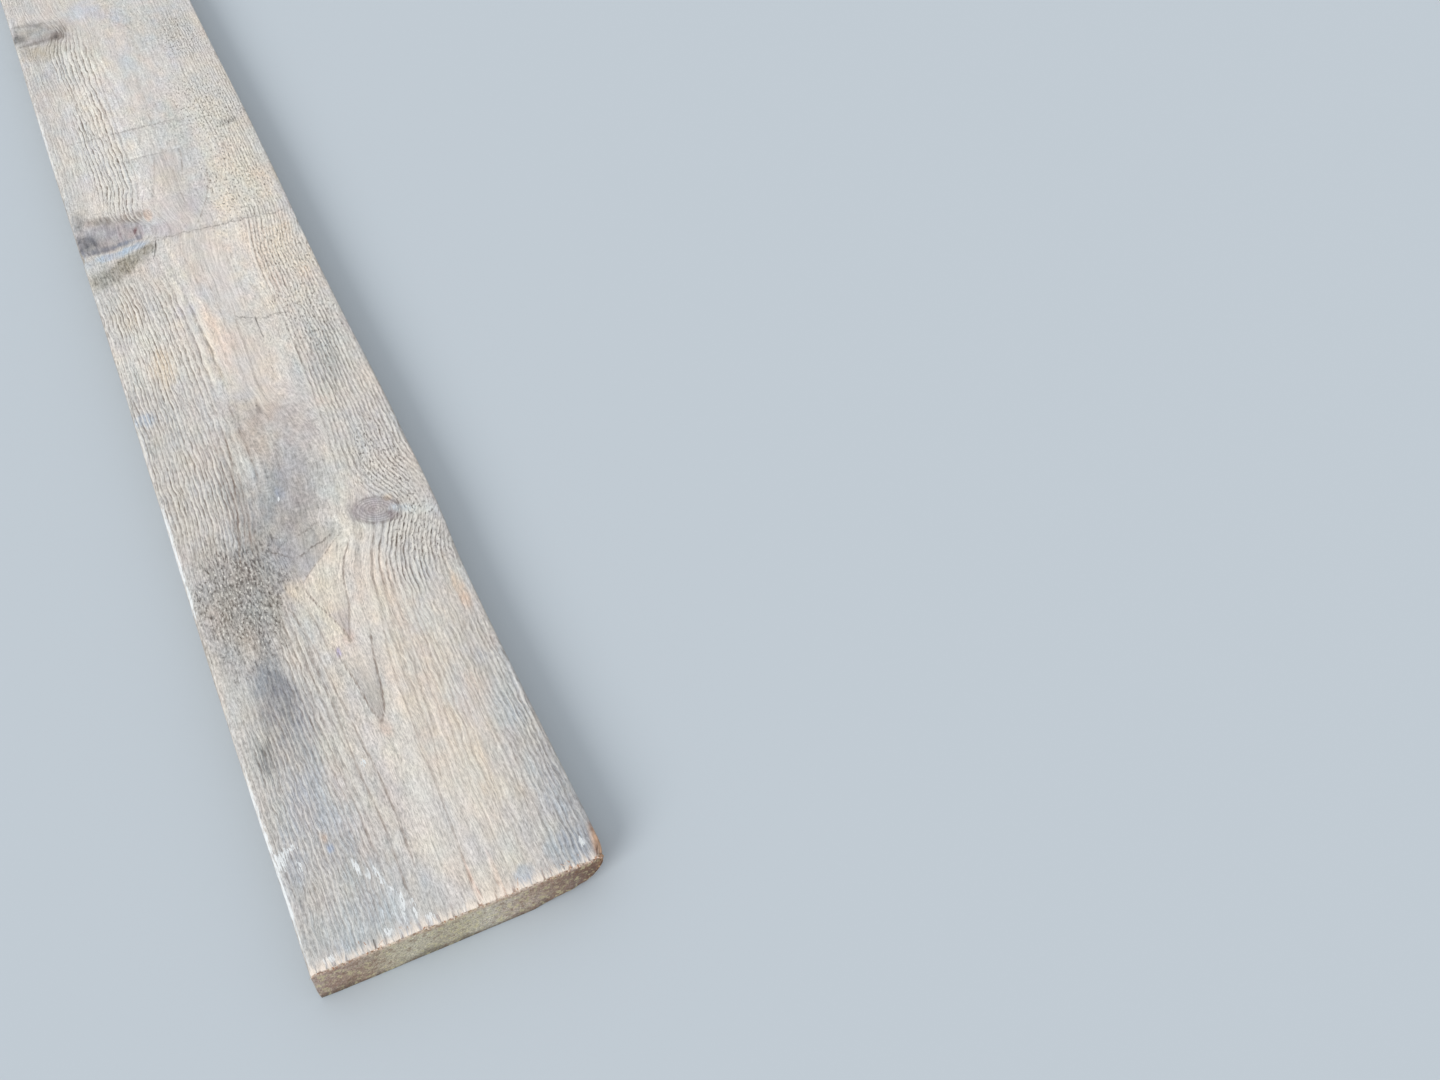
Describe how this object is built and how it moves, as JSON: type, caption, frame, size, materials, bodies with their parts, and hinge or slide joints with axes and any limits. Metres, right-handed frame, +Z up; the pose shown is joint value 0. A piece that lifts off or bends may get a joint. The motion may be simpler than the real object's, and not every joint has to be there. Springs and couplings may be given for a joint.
{
  "type": "floorboard",
  "caption": "Square-edged reclaimed softwood floorboard: one long weathered sawn plank with worn edges and a broken corner.",
  "frame": {"origin": "centre of the board's footprint, on the plane of its underside", "axes": "+X along the grain towards the far end, +Y across to the left edge as seen from the near end, +Z up out of the worn face"},
  "size_m": [2.4, 0.225, 0.038],
  "materials": {
    "weathered_wood": "matte"
  },
  "bodies": {
    "root": {"floorboard": "weathered_wood"}
  },
  "joints": []
}
